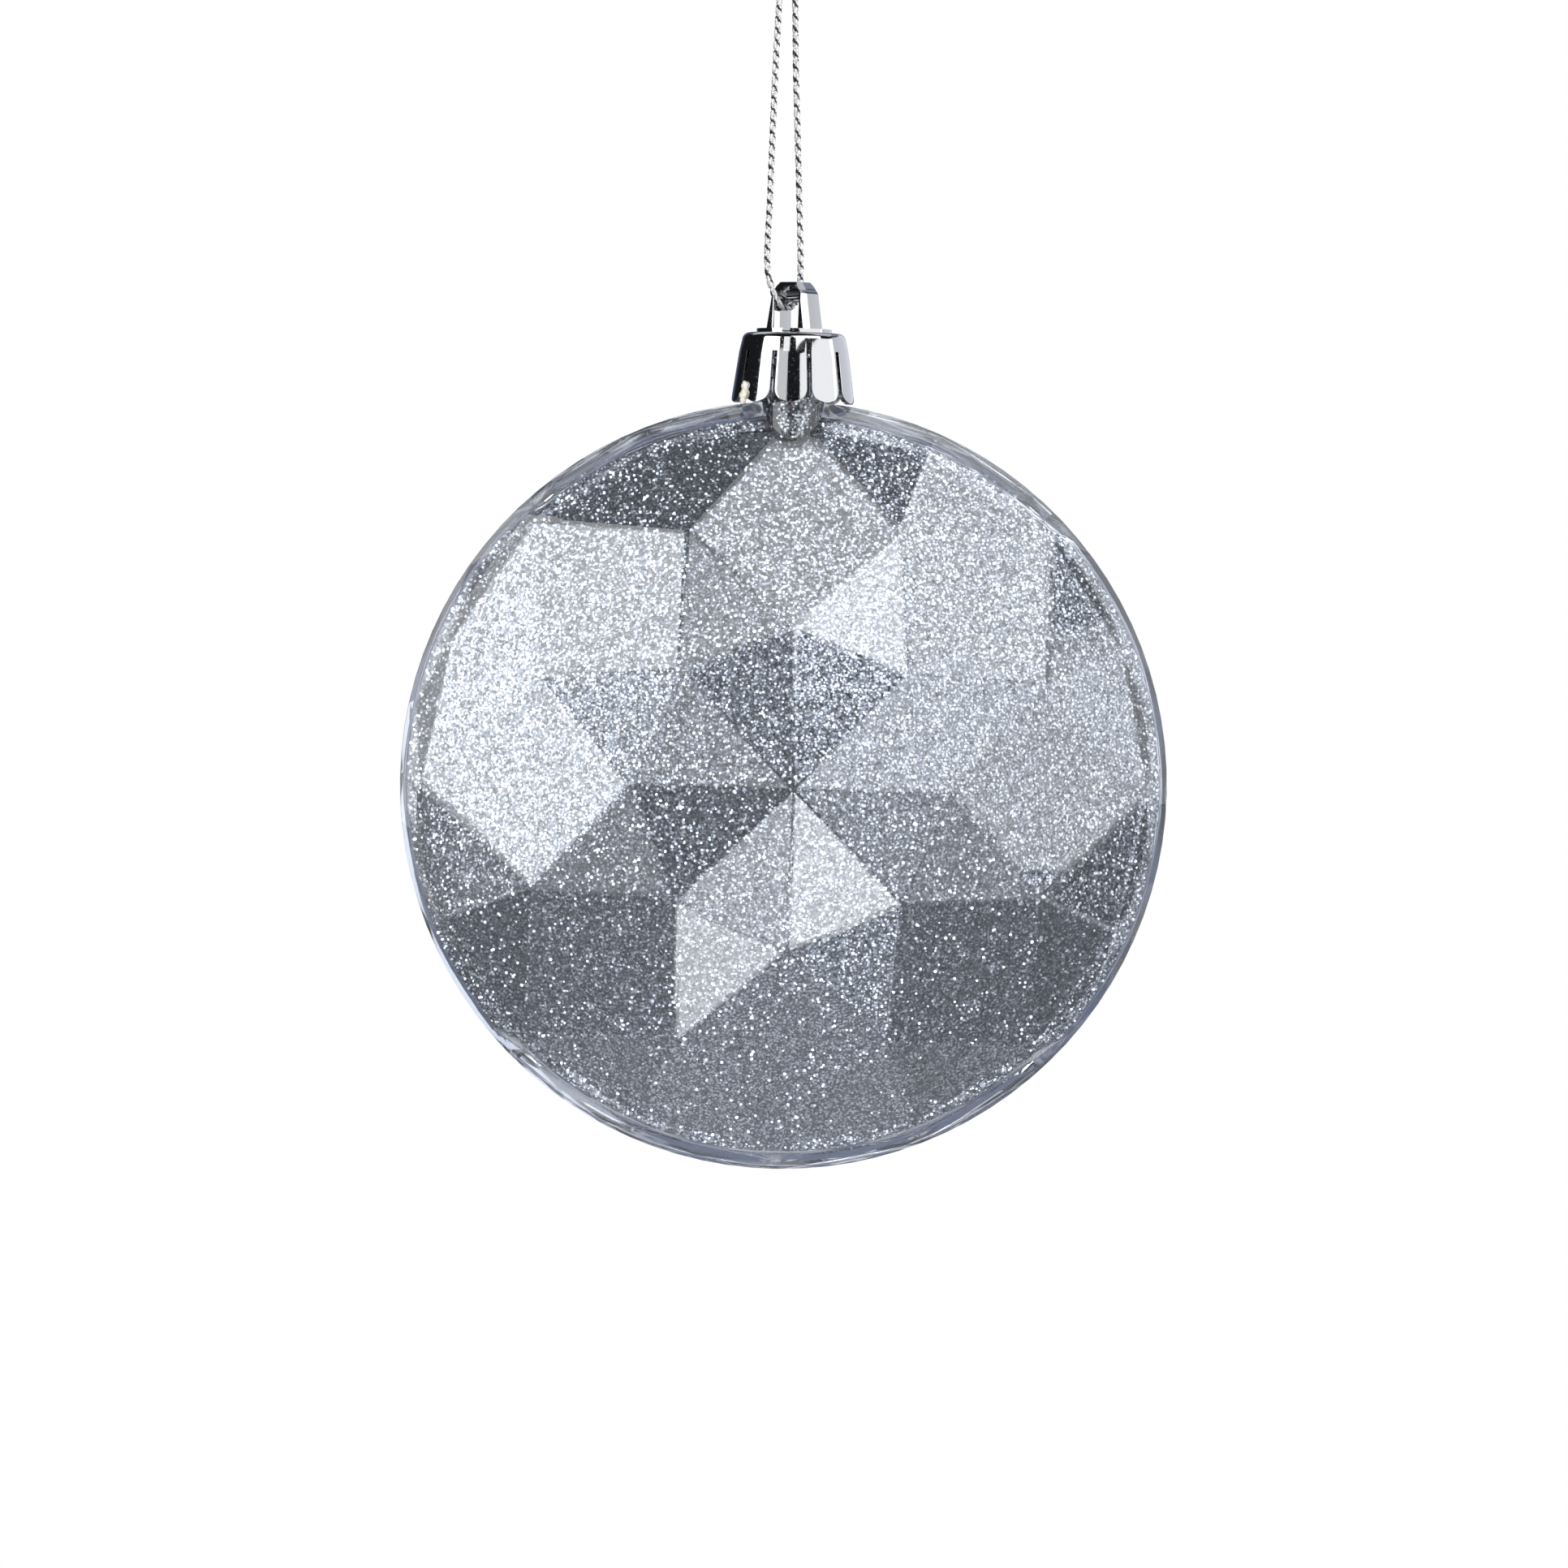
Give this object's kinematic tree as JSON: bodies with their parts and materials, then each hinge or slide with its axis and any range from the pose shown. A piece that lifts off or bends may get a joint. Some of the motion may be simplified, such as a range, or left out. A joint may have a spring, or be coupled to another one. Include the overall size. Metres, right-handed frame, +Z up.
{
  "type": "hanging bauble ornament",
  "caption": "Flat faceted bauble of clear plastic lined with silver glitter, with a slotted chromed cap, a turning eye and a knotted loop of metallic cord",
  "frame": {"origin": "the hanging point, between the two strands of the cord just under the knot", "axes": "+Z up along the hanging cord, -Y towards the front face of the ball, +X to the right seen from the front"},
  "size_m": [0.0999, 0.044, 0.1698],
  "materials": {
    "clear_plastic": "clear moulded polystyrene, slightly blue-violet, polished facets",
    "silver_glitter": "silver glitter flakes in clear varnish",
    "chromed_plastic": "plastic with a vacuum-metallised mirror coat",
    "metallic_cord": "twisted silver metallic cord"
  },
  "bodies": {
    "cord": {"cord_loop": "metallic_cord", "cord_knot": "metallic_cord"},
    "eye": {"hanger_eye": "chromed_plastic"},
    "cap": {"cap": "chromed_plastic"},
    "ball": {"front_shell": "clear_plastic", "back_shell": "clear_plastic", "front_glitter_coat": "silver_glitter", "back_glitter_coat": "silver_glitter"}
  },
  "joints": [
    {"name": "eye_swing", "type": "hinge", "parent": "cord", "child": "eye", "pos_m": [0.00185, 0, -0.0454], "axis": [0.7193, -0.6947, 0], "range_deg": [-95, 95]},
    {"name": "cap_turn", "type": "hinge", "parent": "eye", "child": "cap", "pos_m": [0.00185, 0, -0.0514], "axis": [0, 0, 1], "continuous": true},
    {"name": "cap_pull_off", "type": "slide", "parent": "cap", "child": "ball", "axis": [0, 0, -1], "range_m": [0, 0.0095]}
  ]
}
